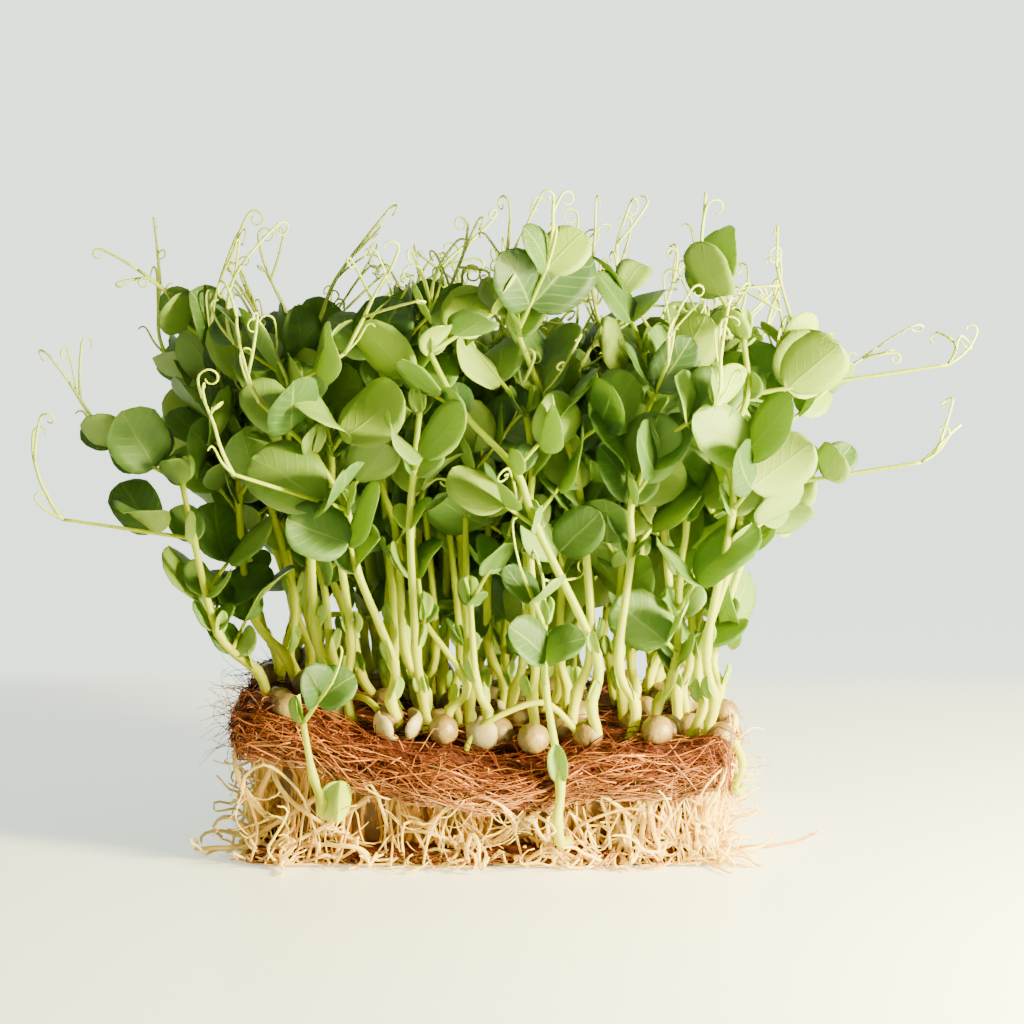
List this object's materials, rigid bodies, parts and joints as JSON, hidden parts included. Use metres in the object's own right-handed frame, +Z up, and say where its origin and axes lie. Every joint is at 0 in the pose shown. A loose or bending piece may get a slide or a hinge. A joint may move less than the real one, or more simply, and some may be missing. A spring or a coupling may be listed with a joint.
{
  "type": "pea shoot microgreens sod",
  "caption": "Block of pea shoots with curling tendrils growing from soaked peas on a coir fibre mat, white roots felted beneath, as lifted out of its tray.",
  "frame": {"origin": "middle of the lower mat's flat underside, on the surface that the block stands on", "axes": "+Z up, +X along the block's long front edge to the right, -Y towards the viewer of the front"},
  "size_m": [0.2428, 0.1622, 0.1672],
  "materials": {
    "coir_fibre": "matte reddish-brown coconut fibre, loose strands",
    "pea_roots": "moist cream-white roots, slightly glossy",
    "pea_shoot": "waxy green leaves with paler undersides on yellow-green stems",
    "soaked_pea": "wrinkled beige pea skin, satin"
  },
  "bodies": {
    "root": {"arched_shoot": "pea_shoot", "bud_shoot": "pea_shoot", "centre_shoot": "pea_shoot", "coir_mat": "coir_fibre", "forked_sprout": "pea_shoot", "front_shoot": "pea_shoot", "hooked_shoot": "pea_shoot", "leaning_shoot": "pea_shoot", "left_bowed_shoot": "pea_shoot", "left_upright_shoot": "pea_shoot", "loose_pea_1": "soaked_pea", "loose_pea_2": "soaked_pea", "loose_pea_3": "soaked_pea", "loose_pea_4": "soaked_pea", "low_sprout": "pea_shoot", "lower_coir_mat": "coir_fibre", "outer_right_shoot": "pea_shoot", "right_upright_shoot": "pea_shoot", "root_mass": "pea_roots", "seedling": "pea_shoot", "shoot_01": "pea_shoot", "shoot_02": "pea_shoot", "shoot_03": "pea_shoot", "shoot_04": "pea_shoot", "shoot_06": "pea_shoot", "shoot_07": "pea_shoot", "shoot_08": "pea_shoot", "shoot_09": "pea_shoot", "shoot_10": "pea_shoot", "shoot_11": "pea_shoot", "shoot_12": "pea_shoot", "shoot_14": "pea_shoot", "shoot_15": "pea_shoot", "shoot_17": "pea_shoot", "shoot_18": "pea_shoot", "shoot_19": "pea_shoot", "shoot_20": "pea_shoot", "shoot_21": "pea_shoot", "shoot_22": "pea_shoot", "shoot_23": "pea_shoot", "shoot_25": "pea_shoot", "shoot_26": "pea_shoot", "shoot_27": "pea_shoot", "shoot_28": "pea_shoot", "short_left_shoot": "pea_shoot", "slanting_shoot": "pea_shoot", "split_pea_shoot": "pea_shoot", "sprawling_shoot": "pea_shoot", "stray_root": "pea_roots", "tendril_shoot": "pea_shoot"}
  },
  "joints": []
}
